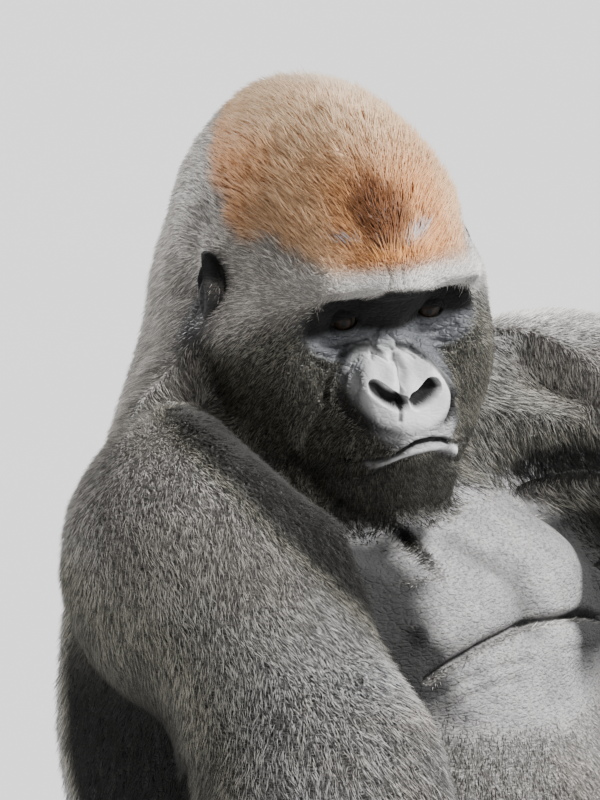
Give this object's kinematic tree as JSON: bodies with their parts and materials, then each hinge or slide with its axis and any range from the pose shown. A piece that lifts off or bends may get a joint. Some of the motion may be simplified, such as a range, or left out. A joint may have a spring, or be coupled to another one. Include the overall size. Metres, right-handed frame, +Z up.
{
  "type": "gorilla, sitting, life-size still model",
  "caption": "Life-size silverback gorilla sitting on the floor, forearms over its raised knees, head turned to its right; rests on its seat and soles.",
  "frame": {"origin": "centre of the flat that it sits on, on the floor", "axes": "+Z up; its chest faces -Y and its left side is +X"},
  "size_m": [0.8341, 0.9339, 1.0077],
  "materials": {
    "crown": "matt hair, chestnut brown",
    "coat": "matt hair, black and grey",
    "skin": "bare grey-black skin",
    "eye": "wet, dark brown",
    "nails": "satin horn, black"
  },
  "bodies": {
    "root": {"eye_right": "eye", "ear_right": "skin", "eye_left": "eye", "ear_left": "skin", "head": "crown", "neck": "coat", "chest": "skin", "belly": "coat", "rump": "coat", "shoulder_right": "coat", "upper_arm_right": "coat", "forearm_right": "coat", "hand_right": "skin", "fingernail_right_1": "nails", "fingernail_right_2": "nails", "fingernail_right_3": "nails", "fingernail_right_4": "nails", "fingernail_right_5": "nails", "thigh_right": "coat", "shin_right": "coat", "foot_right": "skin", "toenail_right_1": "nails", "toenail_right_2": "nails", "toenail_right_3": "nails", "toenail_right_4": "nails", "toenail_right_5": "nails", "shoulder_left": "coat", "upper_arm_left": "coat", "forearm_left": "coat", "hand_left": "skin", "fingernail_left_1": "nails", "fingernail_left_2": "nails", "fingernail_left_3": "nails", "fingernail_left_4": "nails", "fingernail_left_5": "nails", "thigh_left": "coat", "shin_left": "coat", "foot_left": "skin", "toenail_left_1": "nails", "toenail_left_2": "nails", "toenail_left_3": "nails", "toenail_left_4": "nails", "toenail_left_5": "nails"}
  },
  "joints": []
}
